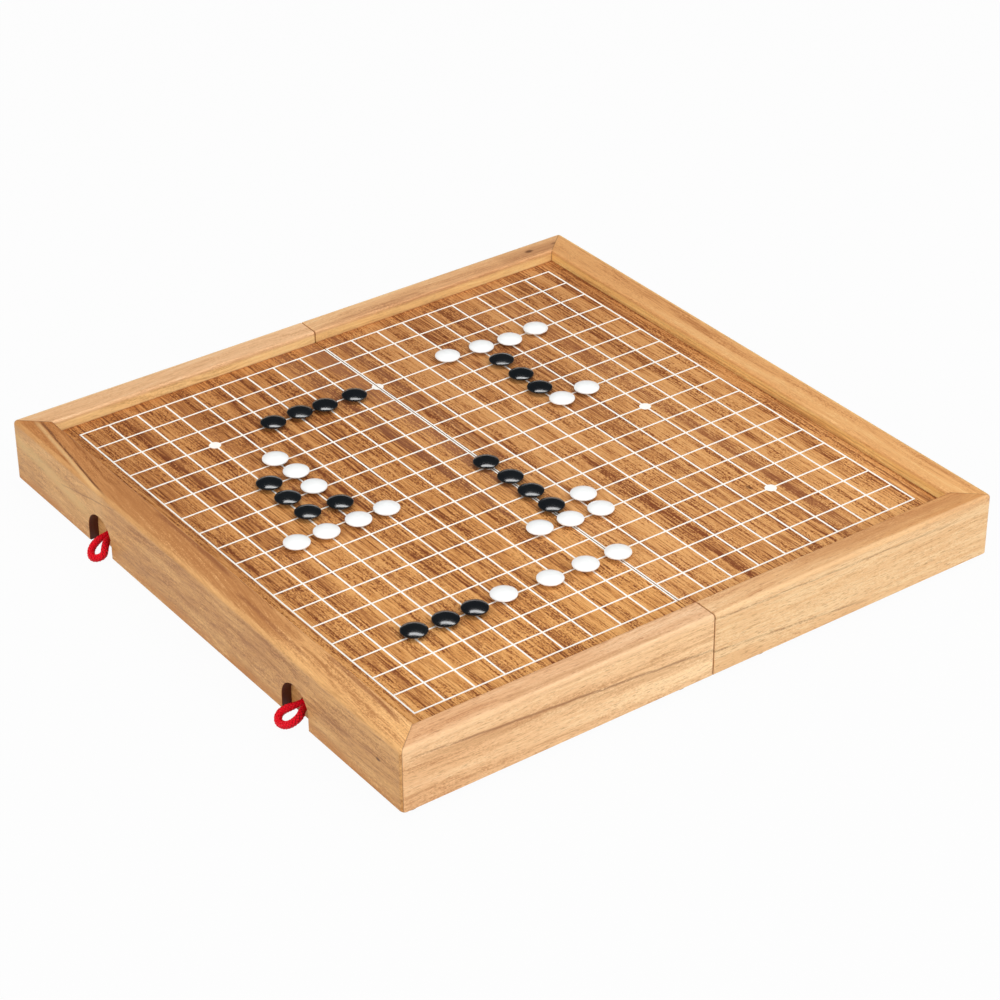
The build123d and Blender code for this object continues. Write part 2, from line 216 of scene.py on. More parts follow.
class Effects:
    """The shader node groups that more than one finish uses, each built once."""

    def __init__(self) -> None:
        """Builds every group."""
        self.wood = self._planed_wood()
        self.streak = self._grain_streak()
        self.knot = self._knot()
        self.lines = self._joint_lines()
        self.speckle = self._speckle()

    @staticmethod
    def _open(name: str, numbers: tuple[str, ...] = (), **others: tuple) -> tuple[Graph, dict[str, Socket]]:
        """Starts a group.

        Args:
            name: the group's name.
            numbers: the names of its inputs that are numbers.
            **others: the default of each colour input, with four values, and each vector input, with three.

        Returns:
            The graph and the inputs' sockets by name.
        """
        tree = bpy.data.node_groups.new(name, "ShaderNodeTree")
        for label in numbers:
            tree.interface.new_socket(label, in_out="INPUT", socket_type="NodeSocketFloat")
        for label, default in others.items():
            kind = "Color" if len(default) == 4 else "Vector"
            socket = tree.interface.new_socket(label, in_out="INPUT", socket_type="NodeSocket" + kind)
            socket.default_value = default
        entry = tree.nodes.new("NodeGroupInput")
        return Graph(tree), {s.name: s for s in entry.outputs if s.name}

    @staticmethod
    def _close(g: Graph, **results: Socket) -> bpy.types.NodeTree:
        """Gives a group one output for each named result.

        Args:
            g: the group's graph.
            **results: the socket that feeds each output. The one named Color is a colour, the others are numbers.

        Returns:
            The group.
        """
        for label in results:
            kind = "Color" if label == "Color" else "Float"
            g.tree.interface.new_socket(label, in_out="OUTPUT", socket_type="NodeSocket" + kind)
        leave = g.tree.nodes.new("NodeGroupOutput")
        for label, result in results.items():
            g.feed(leave.inputs[label], result)
        return g.tree

    def _planed_wood(self) -> bpy.types.NodeTree:
        """Planed and lacquered wood with its grain along the vector's first axis, in millimetres.

        Noise stretched along the grain gives broad bands, ribbons, lines and fibres, each thinner than the last,
        after a slow sideways drift has bent them all. Stipple is a short-grained noise that comes and goes in
        patches. The tone is their weighted sum about a half, and runs from Dark through Body to Pale. Pores are
        dashes where a very thin noise is high. Veins are long dark lines, most of them in the darker bands.

        Returns:
            The group, with outputs Color, Roughness, Height and Tone.
        """
        g, i = self._open(
            "Planed Wood",
            ("Seed", "Ribbon", "Line", "Figure", "Lines", "Fibre", "Stipple", "Pores", "Veins", "Drift"),
            Vector=ORIGIN, Pale=WHITE, Body=WHITE, Dark=WHITE,
        )
        seed = g.joined(i["Seed"], i["Seed"], i["Seed"])
        start = g.moved(i["Vector"], g.scaled(seed, (173.0, 57.0, 91.0)))
        drift = g.times(g.noise(g.scaled(start, (1 / 150, 1 / 45, 1 / 45))), g.times(i["Ribbon"], i["Drift"]))
        bent = g.moved(start, g.joined(0.0, drift, drift))

        def layer(length: float, width: Any, detail: float) -> Socket:
            """Noise about 0 whose features are so long and so wide, in millimetres."""
            across = g.over(1.0, width)
            return g.noise(g.scaled(bent, g.joined(1 / length, across, across)), detail)

        broad = layer(420.0, g.times(i["Ribbon"], 3.0), 1.0)
        ribbon = layer(260.0, i["Ribbon"], 2.0)
        lines = layer(70.0, i["Line"], 2.0)
        fibre = layer(11.0, 0.75, 1.0)
        patch = g.ramp(layer(30.0, 14.0, 2.0), -0.12, 0.12)
        stipple = g.times(layer(1.5, 0.8, 1.0), g.times_plus(patch, 0.9, 0.35))
        tone = g.times_plus(i["Figure"], g.times_plus(broad, 1.3, g.times(ribbon, 1.7)), 0.5)
        for label, noise, weight in (("Lines", lines, 1.5), ("Fibre", fibre, 0.9), ("Stipple", stipple, 1.6)):
            tone = g.times_plus(i[label], g.times(noise, weight), tone)
        darker = g.blend(g.ramp(tone, -0.05, 0.52), i["Dark"], i["Body"])
        colour = g.blend(g.ramp(tone, 0.45, 1.0), darker, i["Pale"])
        dashes = g.add("MapRange", {"Value": layer(5.0, 0.42, 1.0), "From Min": 0.08, "From Max": 0.2}).outputs[0]
        pores = g.times(dashes, i["Pores"])
        colour = g.blend(pores, colour, g.blend(0.35, i["Dark"], (0.14, 0.045, 0.014)))
        among = g.ramp(g.times_plus(broad, 0.8, ribbon), 0.06, -0.10)
        thin = g.ramp(layer(150.0, g.times(i["Line"], 0.7), 1.0), 0.07, 0.19)
        veins = g.times(g.times_plus(among, 0.8, 0.2), g.times(thin, i["Veins"]))
        return self._close(
            g, Color=g.blend(veins, colour, i["Dark"]), Tone=tone, Height=g.minus(g.times(fibre, 0.6), pores),
            Roughness=g.times_plus(pores, 0.25, g.times_plus(fibre, 0.3, 0.42)),
        )

    def _grain_streak(self) -> bpy.types.NodeTree:
        """A streak along the grain, as a mask.

        The streak's middle runs straight from one point to another in (along, level), plus a wobble of slow noise.
        The mask falls from 1 there to 0 a width away, and fades over the first and last part of its run.

        Returns:
            The group, with output Mask.
        """
        g, i = self._open(
            "Grain Streak", ("Along", "Level", "Width", "End Width", "Wobble", "Seed"), Start=ORIGIN, End=ORIGIN
        )
        a0, l0, _ = g.split(i["Start"])
        a1, l1, _ = g.split(i["End"])
        t = g.over(g.minus(i["Along"], a0), g.minus(a1, a0))
        middle = g.times_plus(t, g.minus(l1, l0), l0)
        slow = g.noise(g.joined(g.over(i["Along"], 22.0), i["Seed"], 0.0), 3.0)
        wave = g.times(slow, g.times(i["Wobble"], 4.0))
        off = g.size(g.minus(g.minus(i["Level"], middle), wave))
        held = g.smaller(g.larger(t, 0.0), 1.0)
        wide = g.times_plus(held, g.minus(i["End Width"], i["Width"]), i["Width"])
        ends = g.times(g.ramp(t, 0.0, 0.12), g.ramp(t, 1.0, 0.82))
        return self._close(g, Mask=g.times(g.ramp(g.over(off, wide), 1.0, 0.15), ends))

    def _knot(self) -> bpy.types.NodeTree:
        """A pin knot: 1 at its centre in (along, level), 0 outside an ellipse of one and a half times its size.

        Returns:
            The group, with output Mask.
        """
        g, i = self._open("Pin Knot", ("Along", "Level", "Long", "Short"), Centre=ORIGIN)
        a0, l0, _ = g.split(i["Centre"])
        x = g.over(g.minus(i["Along"], a0), i["Long"])
        y = g.over(g.minus(i["Level"], l0), i["Short"])
        return self._close(g, Mask=g.ramp(g.math("SQRT", g.times_plus(x, x, g.times(y, y))), 1.5, 0.45))

    def _joint_lines(self) -> bpy.types.NodeTree:
        """Masks for the board's joints from a point in millimetres.

        Mitre is 1 on the plane from an outer corner of the frame to the inner corner beside it. Foot is 1 where
        the panel meets a rail. Burn is 1 on a pocket's arched jamb, between its mouth and its back wall, which is
        painted near-black brown. Arris is 1 on the rails' rounded outer top edge, which gets a painted highlight.

        Returns:
            The group, with outputs Mitre, Foot, Burn and Arris.
        """
        g, i = self._open("Joint Lines", Vector=ORIGIN)
        x, y, z = g.split(i["Vector"])
        in_x, in_y = g.minus(HALF_SIDE, g.size(x)), g.minus(HALF_SIDE, g.size(y))
        end_w, side_w = HALF_SIDE - RAIL_INNER_X, HALF_SIDE - RAIL_INNER_Y
        long = math.hypot(end_w, side_w)
        off = g.size(g.minus(g.times(in_x, side_w / long), g.times(in_y, end_w / long)))
        corner = g.math("LESS_THAN", in_x, end_w + 0.3)
        near = g.size(g.smaller(g.minus(in_x, end_w), g.minus(in_y, side_w)))
        above = g.size(g.minus(z, SURFACE_Z))
        # The jamb mask: where each pocket's jamb is painted near-black brown.
        beside = g.math("LESS_THAN", g.size(g.minus(g.size(x), POCKET_X)), POCKET_HALF_WIDTH + 0.1)
        below = g.math("LESS_THAN", z, POCKET_TOP + 3.5)
        jamb = g.times(g.ramp(in_y, 0.05, 0.5), g.math("GREATER_THAN", g.size(y), POCKET_BACK + 0.1))
        # The edge mask for the painted highlight on the rails' rounded outer top edge.
        edge = g.larger(g.smaller(in_x, in_y), 0.0)
        drop = g.larger(g.minus(TOP_Z, z), 0.0)
        return self._close(
            g, Mitre=g.times(g.ramp(off, 0.42, 0.12), corner), Foot=g.ramp(g.larger(near, above), 0.9, 0.15),
            Burn=g.times(g.times(beside, below), jamb), Arris=g.ramp(g.math("ADD", edge, drop), 3.4, 1.6),
        )

    def _speckle(self) -> bpy.types.NodeTree:
        """Even, fine noise and large soft clouds for ink, stone, felt and metal, both about 0.

        Returns:
            The group, with outputs Speck and Cloud.
        """
        g, i = self._open("Speckle", ("Grain",), Vector=ORIGIN, Stretch=ORIGIN)
        size = g.over(1.0, i["Grain"])
        point = g.scaled(g.scaled(i["Vector"], i["Stretch"]), g.joined(size, size, size))
        return self._close(g, Speck=g.noise(point, 3.0, 0.6), Cloud=g.noise(g.scaled(point, 0.06), 2.0))


class Grain(Enum):
    """The way a wooden piece's grain runs: along the seam or across it."""

    ALONG_SEAM = "x"
    ACROSS_SEAM = "y"


class Level(Enum):
    """What a mark in the wood is measured by besides its place along the grain."""

    ACROSS = "across"
    HEIGHT = "height"


@dataclass(frozen=True)
class Streak:
    """A pale or dark streak in one piece of wood, in millimetres along the grain and at a level."""

    level: Level
    start: Pair
    end: Pair
    width: float
    colour: Colour
    share: float
    end_width: float = 0.0
    wobble: float = 0.5


@dataclass(frozen=True)
class Knot:
    """A pin knot in one piece of wood, in millimetres along the grain and at a level."""

    level: Level
    centre: Pair
    long: float
    short: float
    share: float = 0.8


# How far to each side of the middle the tints along the grain run.
TINT_RUN = 200.0
UNTINTED: Colour = (1.0, 1.0, 1.0)
PALE_BAND: Colour = (0.86, 0.58, 0.27)
BROWN: Colour = (0.30, 0.12, 0.045)
RED_BROWN: Colour = (0.26, 0.085, 0.03)
KNOT_BROWN: Colour = (0.09, 0.03, 0.012)
MITRE_BROWN: Colour = (0.13, 0.05, 0.02)
FOOT_BROWN: Colour = (0.30, 0.075, 0.02)
# Near-black brown that each pocket's jamb is painted.
JAMB_DARK: Colour = (0.085, 0.016, 0.007)
INNER_WOOD = ((0.80, 0.56, 0.32), (0.68, 0.43, 0.21), (0.45, 0.24, 0.10))
PANEL_FIGURE = {"line": 1.25, "figure": 0.7, "lines": 1.5, "fibre": 1.7, "stipple": 1.3, "pores": 0.3, "veins": 0.55,
                "drift": 1.2}


@dataclass(frozen=True)
class WoodFinish:
    """Satin lacquered wood: its colours, its figure and the marks of one piece, with painted light and shade on its top
    face and a painted highlight on its rounded top edge.
    """

    name: str
    grain: Grain
    seed: float
    pale: Colour
    body: Colour
    dark: Colour
    ribbon: float = 8.0
    line: float = 1.8
    figure: float = 0.8
    lines: float = 0.6
    fibre: float = 0.6
    stipple: float = 0.3
    pores: float = 0.4
    veins: float = 0.35
    drift: float = 2.0
    slope: float = 0.0
    start: Colour = UNTINTED
    end: Colour = UNTINTED
    # Painted light and shade: the top face's own tints, from the start of the grain to its end.
    top_light_start: Colour = UNTINTED
    top_light_end: Colour = UNTINTED
    streaks: tuple[Streak, ...] = ()
    knots: tuple[Knot, ...] = ()

    def material(self, effects: Effects) -> bpy.types.Material:
        """Wires the finish on Object coordinates.

        Args:
            effects: the shared shader groups.

        Returns:
            The material.
        """
        made = bpy.data.materials.new(self.name)
        g = open_tree(made)
        place = g.scaled(g.add("TexCoord").outputs["Object"], 1 / MM)
        x, y, z = g.split(place)
        along, across = (x, y) if self.grain is Grain.ALONG_SEAM else (y, x)
        leaned = g.times_plus(along, self.slope, across)
        wood = g.group(
            effects.wood, vector=g.joined(along, leaned, z), seed=self.seed, pale=self.pale, body=self.body,
            dark=self.dark, ribbon=self.ribbon, line=self.line, figure=self.figure, lines=self.lines,
            fibre=self.fibre, stipple=self.stipple, pores=self.pores, veins=self.veins, drift=self.drift,
        )
        run = g.add("MapRange", {"Value": along, "From Min": -TINT_RUN, "From Max": TINT_RUN}).outputs[0]
        colour = g.blend(1.0, wood.outputs["Color"], g.blend(run, self.start, self.end), "MULTIPLY")
        # Painted light and shade: the top face is tinted lighter or darker, changing along the grain, for how light
        # falls on it.
        lit_top = g.blend(1.0, colour, g.blend(run, self.top_light_start, self.top_light_end), "MULTIPLY")
        colour = g.blend(g.ramp(z, TOP_Z - 3.5, TOP_Z - 0.8), colour, lit_top)
        lift = g.times_plus(wood.outputs["Tone"], -1.7, 1.75, clamp=True)
        levels = {Level.ACROSS: across, Level.HEIGHT: z}
        for number, mark in enumerate(self.streaks):
            streak = g.group(
                effects.streak, along=along, level=levels[mark.level], start=(*mark.start, 0.0),
                end=(*mark.end, 0.0), width=mark.width, end_width=mark.end_width or mark.width,
                wobble=mark.wobble, seed=self.seed + 3.7 * number,
            )
            share = g.times(streak.outputs["Mask"], g.times(lift, mark.share))
            colour = g.blend(share, colour, mark.colour)
        for knot in self.knots:
            spot = g.group(effects.knot, along=along, level=levels[knot.level], centre=(*knot.centre, 0.0),
                           long=knot.long, short=knot.short)
            colour = g.blend(g.times(spot.outputs["Mask"], knot.share), colour, KNOT_BROWN)
        lines = g.group(effects.lines, vector=place)
        # Arris is a painted highlight: the rounded outer top edge is turned towards the wood's pale colour.
        for mask, share, paint in (
            ("Arris", 0.35, self.pale), ("Mitre", 0.45, MITRE_BROWN), ("Foot", 0.45, FOOT_BROWN), ("Burn", 0.97, JAMB_DARK),
        ):
            colour = g.blend(g.times(lines.outputs[mask], share), colour, paint)
        bump = g.add("Bump", {"Strength": 0.25, "Distance": 0.2 * MM, "Height": wood.outputs["Height"]})
        g.surface(g.add("BsdfPrincipled", {
            "Base Color": colour, "Roughness": wood.outputs["Roughness"], "Normal": bump.outputs[0],
            "Specular IOR Level": 0.25,
        }))
        return made


@dataclass(frozen=True)
class SmoothFinish:
    """An ink, stone, felt or metal finish: one colour broken up by fine specks and soft clouds."""

    name: str
    colour: Colour
    other: Colour
    roughness: float
    grain: float = 0.5
    stretch: Triple = (1.0, 1.0, 1.0)
    speck: float = 0.5
    bump: float = 0.05
    metallic: float = 0.0
    specular: float = 0.5
    sheen: float = 0.0
    ior: float = 1.5

    def material(self, effects: Effects) -> bpy.types.Material:
        """Wires the finish on Object coordinates.

        Args:
            effects: the shared shader groups.

        Returns:
            The material.
        """
        made = bpy.data.materials.new(self.name)
        g = open_tree(made)
        place = g.scaled(g.add("TexCoord").outputs["Object"], 1 / MM)
        dots = g.group(effects.speckle, vector=place, grain=self.grain, stretch=self.stretch)
        cloud = dots.outputs["Cloud"]
        share = g.times_plus(dots.outputs["Speck"], self.speck * 2.0, g.times_plus(cloud, self.speck * 1.5, 0.35),
                             clamp=True)
        bump = g.add("Bump", {"Strength": self.bump, "Distance": 0.2 * MM, "Height": dots.outputs["Speck"]})
        g.surface(g.add("BsdfPrincipled", {
            "Base Color": g.blend(share, self.colour, self.other),
            "Roughness": g.times_plus(cloud, 0.12, self.roughness, clamp=True), "Metallic": self.metallic,
            "Specular IOR Level": self.specular, "Sheen Weight": self.sheen, "IOR": self.ior,
            "Normal": bump.outputs[0],
        }))
        return made


@dataclass(frozen=True)
class ThreadFinish:
    """Shiny dyed yarn: fine filaments along each plait, with painted shade where it dips under another and on its
    flanks, on the piece's UV map.
    """

    name: str
    colour: Colour
    shade: Colour
    roughness: float = 0.38
    dip_every: float = 11.0 / 6

    def material(self) -> bpy.types.Material:
        """Wires the finish on the UV map, whose U runs along a plait in millimetres and V once round it.

        Returns:
            The material.
        """
        made = bpy.data.materials.new(self.name)
        g = open_tree(made)
        uv = g.add("UVMap", uv_map="UVMap").outputs[0]
        filament = g.noise(g.scaled(uv, (0.6, 26.0, 1.0)), 2.0)
        patch = g.noise(g.scaled(uv, (0.35, 2.0, 1.0)), 1.0)
        share = g.times_plus(filament, 1.0, g.times_plus(patch, 0.6, 0.15), clamp=True)
        along, around, _ = g.split(uv)
        # Painted shade: each plait is darkened where it dips under the next one and on its flanks, where shade falls
        # between plaits.
        wave = g.math("COSINE", g.times(along, 2 * math.pi / self.dip_every))
        flank = g.size(g.math("COSINE", g.times(around, 2 * math.pi)))
        dip = g.larger(g.ramp(wave, 0.75, -0.1), g.times(g.ramp(flank, 0.55, 0.98), 0.9))
        bump = g.add("Bump", {"Strength": 0.35, "Distance": 0.1 * MM, "Height": filament})
        g.surface(g.add("BsdfPrincipled", {
            "Base Color": g.blend(dip, g.blend(share, self.colour, self.shade), tuple(0.45 * c for c in self.shade)),
            "Roughness": g.times_plus(filament, 0.3, self.roughness, clamp=True),
            "Specular IOR Level": 0.22, "Normal": bump.outputs[0],
        }))
        return made


@dataclass(frozen=True)
class BoardWoods:
    """The finish of each wooden piece of the board."""

    near_side: WoodFinish = WoodFinish(
        "near_side_rail_wood", Grain.ALONG_SEAM, 1.3, (0.80, 0.465, 0.186), (0.64, 0.33, 0.118), (0.38, 0.16, 0.050),
        ribbon=6.0, slope=0.09, figure=0.7, fibre=1.0, stipple=0.6, veins=0.2,
        top_light_start=(0.69, 0.52, 0.42), top_light_end=(1.25, 1.32, 1.44),
        streaks=(
            Streak(Level.ACROSS, (-206.0, -199.5), (-94.0, -211.5), 2.2, PALE_BAND, 0.55, wobble=0.2),
            Streak(Level.ACROSS, (-206.0, -196.6), (-92.0, -210.3), 1.1, (0.20, 0.075, 0.03), 1.2, wobble=0.25),
            Streak(Level.ACROSS, (-120.0, -200.0), (105.0, -202.0), 14.0, (0.44, 0.18, 0.056), 0.75),
            Streak(Level.ACROSS, (-70.0, -193.5), (25.0, -194.5), 2.4, RED_BROWN, 0.7),
            Streak(Level.ACROSS, (30.0, -200.5), (115.0, -204.0), 2.0, RED_BROWN, 0.6),
            Streak(Level.ACROSS, (112.0, -193.0), (192.0, -196.0), 2.2, RED_BROWN, 0.65),
            Streak(Level.HEIGHT, (-214.0, 33.0), (-110.0, 22.0), 7.0, (0.78, 0.52, 0.21), 0.6),
            Streak(Level.HEIGHT, (-155.0, 26.5), (-82.0, 42.0), 0.9, BROWN, 0.7),
            Streak(Level.HEIGHT, (-250.0, 3.5), (250.0, 3.5), 9.0, (0.55, 0.21, 0.044), 0.8),
        ),
        knots=(Knot(Level.HEIGHT, (188.7, 26.0), 2.0, 0.9),),
    )
    near_front: WoodFinish = WoodFinish(
        "near_front_rail_wood", Grain.ACROSS_SEAM, 2.1, (0.92, 0.645, 0.365), (0.83, 0.52, 0.268), (0.57, 0.285, 0.12),
        ribbon=7.0, figure=0.55, fibre=0.8, stipple=0.5, pores=0.6,
        start=(1.03, 0.96, 0.92), end=(1.24, 1.40, 1.50), top_light_start=(0.85, 0.80, 0.80), top_light_end=(0.74, 0.66, 0.70),
        streaks=(
            Streak(Level.HEIGHT, (-214.0, 38.0), (20.0, 19.5), 1.3, BROWN, 0.8),
            Streak(Level.HEIGHT, (-214.0, 35.0), (20.0, 17.0), 4.5, (0.58, 0.30, 0.13), 0.4),
            Streak(Level.ACROSS, (-150.0, 205.0), (-20.0, 208.0), 3.0, (0.55, 0.29, 0.13), 0.55),
        ),
    )
    far_front: WoodFinish = WoodFinish(
        "far_front_rail_wood", Grain.ACROSS_SEAM, 3.4, (0.94, 0.655, 0.36), (0.85, 0.52, 0.252), (0.58, 0.27, 0.11),
        ribbon=7.0, figure=0.6, fibre=0.8, stipple=0.5, pores=0.6,
        top_light_start=(1.01, 1.15, 1.36), top_light_end=(0.74, 0.565, 0.39),
        streaks=(
            Streak(Level.HEIGHT, (-20.0, 21.0), (120.0, 8.0), 1.3, BROWN, 0.75),
            Streak(Level.HEIGHT, (-10.0, 41.0), (205.0, 35.0), 1.1, BROWN, 0.65),
            Streak(Level.ACROSS, (60.0, 197.0), (214.0, 203.0), 9.0, (0.50, 0.23, 0.085), 0.55),
        ),
    )
    near_back: WoodFinish = WoodFinish(
        "near_back_rail_wood", Grain.ACROSS_SEAM, 4.6, (0.95, 0.76, 0.39), (0.92, 0.62, 0.28), (0.64, 0.37, 0.14),
        ribbon=9.0, figure=0.45, stipple=0.4, pores=0.3, top_light_start=(0.80, 0.69, 0.77), top_light_end=(0.94, 0.87, 1.07),
    )
    far_back: WoodFinish = WoodFinish(
        "far_back_rail_wood", Grain.ACROSS_SEAM, 5.2, (0.95, 0.71, 0.33), (0.85, 0.54, 0.225), (0.54, 0.28, 0.105),
        ribbon=9.0, figure=0.6, stipple=0.4, pores=0.3, top_light_start=(0.96, 0.95, 1.18), top_light_end=(0.80, 0.65, 0.68),
        streaks=(Streak(Level.ACROSS, (150.0, -202.0), (215.0, -200.0), 9.0, (0.42, 0.20, 0.085), 0.45),),
        knots=(Knot(Level.ACROSS, (178.0, -201.5), 3.0, 1.6), Knot(Level.ACROSS, (199.0, -201.0), 2.6, 1.2, 0.5)),
    )
    far_side: WoodFinish = WoodFinish(
        "far_side_rail_wood", Grain.ALONG_SEAM, 6.9, (0.97, 0.68, 0.265), (0.87, 0.515, 0.175), (0.52, 0.235, 0.064),
        ribbon=7.0, figure=0.6, stipple=0.5, pores=0.3, top_light_start=(0.80, 0.67, 0.72), top_light_end=(0.88, 0.77, 0.84),
        streaks=(
            Streak(Level.HEIGHT, (-200.0, 37.2), (200.0, 37.2), 1.3, (0.42, 0.15, 0.045), 0.6),
            Streak(Level.HEIGHT, (-120.0, 40.5), (200.0, 39.5), 0.8, (0.42, 0.17, 0.055), 0.5),
        ),
    )
    near_panel: WoodFinish = WoodFinish(
        "near_panel_wood", Grain.ALONG_SEAM, 7.7, (0.70, 0.345, 0.116), (0.54, 0.228, 0.064), (0.19, 0.050, 0.014),
        ribbon=4.5, start=(0.84, 0.78, 0.76), end=(1.14, 1.20, 1.20), **PANEL_FIGURE,
        streaks=(
            Streak(Level.ACROSS, (-240.0, -31.0), (110.0, -20.0), 11.0, (0.23, 0.08, 0.035), 0.75, end_width=5.0),
            Streak(Level.ACROSS, (-240.0, -8.0), (60.0, -6.0), 10.0, (0.31, 0.12, 0.052), 0.85),
            Streak(Level.ACROSS, (-230.0, -114.0), (230.0, -116.0), 5.0, (0.30, 0.105, 0.035), 0.5),
            Streak(Level.ACROSS, (-230.0, -147.0), (230.0, -149.0), 5.0, (0.32, 0.115, 0.035), 0.45),
            Streak(Level.ACROSS, (-230.0, -171.0), (230.0, -169.0), 4.0, (0.32, 0.115, 0.035), 0.4),
        ),
    )
    far_panel: WoodFinish = WoodFinish(
        "far_panel_wood", Grain.ALONG_SEAM, 8.4, (0.70, 0.36, 0.130), (0.54, 0.237, 0.073), (0.20, 0.054, 0.015),
        ribbon=4.8, start=(0.86, 0.80, 0.78), end=(1.12, 1.15, 1.17), **PANEL_FIGURE,
        streaks=(
            Streak(Level.ACROSS, (-240.0, 13.0), (25.0, 11.0), 7.0, (0.24, 0.085, 0.035), 0.7, end_width=3.0),
            Streak(Level.ACROSS, (-230.0, 131.0), (230.0, 129.0), 8.0, (0.28, 0.095, 0.035), 0.6),
            Streak(Level.ACROSS, (-230.0, 104.0), (30.0, 95.0), 5.0, (0.30, 0.105, 0.035), 0.5),
            Streak(Level.ACROSS, (-60.0, 92.0), (230.0, 90.0), 4.0, (0.32, 0.115, 0.035), 0.45),
            Streak(Level.ACROSS, (20.0, 187.5), (240.0, 186.0), 2.4, (0.24, 0.08, 0.028), 0.9),
        ),
        knots=(Knot(Level.ACROSS, (110.0, 110.0), 3.0, 0.9),),
    )
    inside: WoodFinish = WoodFinish("inner_rail_wood", Grain.ALONG_SEAM, 9.3, *INNER_WOOD, figure=0.6, pores=0.5)
    divider: WoodFinish = WoodFinish("divider_wood", Grain.ACROSS_SEAM, 10.8, *INNER_WOOD, figure=0.6, pores=0.5)
    pegs: WoodFinish = WoodFinish(
        "turned_peg_wood", Grain.ACROSS_SEAM, 11.5, (0.66, 0.40, 0.18), (0.52, 0.28, 0.115), (0.30, 0.13, 0.05),
        ribbon=2.0, pores=0.5,
    )


@dataclass(frozen=True)
class SmallFinishes:
    """The finishes that aren't wood."""

    print_white: SmoothFinish = SmoothFinish(
        "white_print_ink", (0.96, 0.94, 0.89), (0.92, 0.88, 0.80), 0.42, grain=0.7, speck=0.35, specular=0.35,
        bump=0.06,
    )
    black_stone: SmoothFinish = SmoothFinish(
        "black_stone_polish", (0.003, 0.0042, 0.0055), (0.007, 0.009, 0.011), 0.17, grain=0.9, speck=0.4, bump=0.0,
        ior=1.95,
    )
    white_stone: SmoothFinish = SmoothFinish(
        "white_stone_polish", (0.875, 0.885, 0.88), (0.85, 0.86, 0.855), 0.16, grain=1.2, speck=0.3, bump=0.0,
    )
    felt: SmoothFinish = SmoothFinish(
        "brown_felt", (0.40, 0.23, 0.11), (0.48, 0.30, 0.16), 0.92, grain=0.35, speck=1.0, bump=0.8,
        specular=0.2, sheen=0.3,
    )
    steel: SmoothFinish = SmoothFinish(
        "bright_steel", (0.56, 0.56, 0.57), (0.44, 0.44, 0.45), 0.26, grain=0.5, stretch=(0.1, 1.0, 1.0),
        speck=0.6, bump=0.12, metallic=1.0,
    )
    brass: SmoothFinish = SmoothFinish(
        "hinge_brass", (0.76, 0.55, 0.22), (0.60, 0.40, 0.14), 0.28, grain=0.4, stretch=(0.12, 1.0, 1.0),
        speck=0.7, bump=0.15, metallic=1.0,
    )
    cord: ThreadFinish = ThreadFinish("red_cord_yarn", (0.95, 0.002, 0.018), (0.55, 0.0005, 0.005))
    # The core's dark red is a painted shade for the gaps between the plaits.
    core: ThreadFinish = ThreadFinish("red_cord_core", (0.16, 0.001, 0.004), (0.09, 0.001, 0.002), 0.7)


def place_mesh(name: str, skin: bpy.types.Material, points: np.ndarray, faces: np.ndarray,
               uv: np.ndarray | None = None) -> bpy.types.Object:
    """Makes a smooth-shaded object at the origin from whole arrays.

    Args:
        name: the piece's name.
        skin: its material.
        points: (n, 3) vertices in metres.
        faces: (m, 4) vertex numbers, anticlockwise from outside.
        uv: (m, 4, 2) UV coordinates of each face's corners.

    Returns:
        The object, linked to the scene.
    """
    mesh = bpy.data.meshes.new(name)
    mesh.vertices.add(len(points))
    mesh.vertices.foreach_set("co", points.astype(np.float32).ravel())
    mesh.loops.add(faces.size)
    mesh.loops.foreach_set("vertex_index", faces.astype(np.int32).ravel())
    mesh.polygons.add(len(faces))
    mesh.polygons.foreach_set("loop_start", np.arange(0, faces.size, 4, dtype=np.int32))
    mesh.polygons.foreach_set("use_smooth", np.ones(len(faces), bool))
    mesh.update(calc_edges=True)
    if uv is not None:
        layer = mesh.uv_layers.new(name="UVMap")
        layer.data.foreach_set("uv", uv.astype(np.float32).ravel())
    mesh.validate()
    mesh.materials.append(skin)
    made = bpy.data.objects.new(name, mesh)
    bpy.context.scene.collection.objects.link(made)
    return made


def round_forms(reach: np.ndarray, height: np.ndarray, centres: np.ndarray) -> tuple[np.ndarray, np.ndarray]:
    """Closed round forms about upright axes, one at each centre, made from half a profile.

    A square grid is laid on each form ring by ring. A grid point's ring is the larger of its two steps from the
    grid's middle, and its angle within a quarter turn is pi / 4 times the smaller step over the larger. The ring
    gives its reach and its height, above the middle plane on the upper sheet and below it on the lower.

    Args:
        reach: each ring's distance from the axis, from the pole to the rim, in metres.
        height: each ring's height above the middle plane, 0 at the rim.
        centres: (n, 3) middles of the forms.

    Returns:
        Vertices, joined along the rims, and faces.
    """
    rings = len(reach) - 1
    step = np.arange(-rings, rings + 1)
    u, v = np.meshgrid(step, step, indexing="ij")
    ring = np.maximum(np.abs(u), np.abs(v))
    flat = np.abs(u) >= np.abs(v)
    ratio = np.where(flat, v, u) / np.where(ring == 0, 1, np.where(flat, u, v))
    angle = np.where(flat, np.pi / 4 * ratio, np.pi / 2 - np.pi / 4 * ratio)
    angle = angle + np.where(np.where(flat, u, v) < 0, np.pi, 0.0)
    sheet = np.stack([reach[ring] * np.cos(angle), reach[ring] * np.sin(angle), height[ring]], axis=-1).reshape(-1, 3)
    number = np.arange(len(sheet)).reshape(ring.shape)
    quads = np.stack([number[:-1, :-1], number[1:, :-1], number[1:, 1:], number[:-1, 1:]], axis=-1).reshape(-1, 4)
    points = np.concatenate([sheet, sheet * (1.0, 1.0, -1.0)])
    faces = np.concatenate([quads, quads[:, ::-1] + len(sheet)])
    every = (centres[:, None, :] + points[None]).reshape(-1, 3)
    joined, place = np.unique(np.round(every, 8), axis=0, return_inverse=True)
    corners = (faces[None] + np.arange(len(centres))[:, None, None] * len(points)).reshape(-1, 4)
    return joined, place.reshape(-1)[corners]


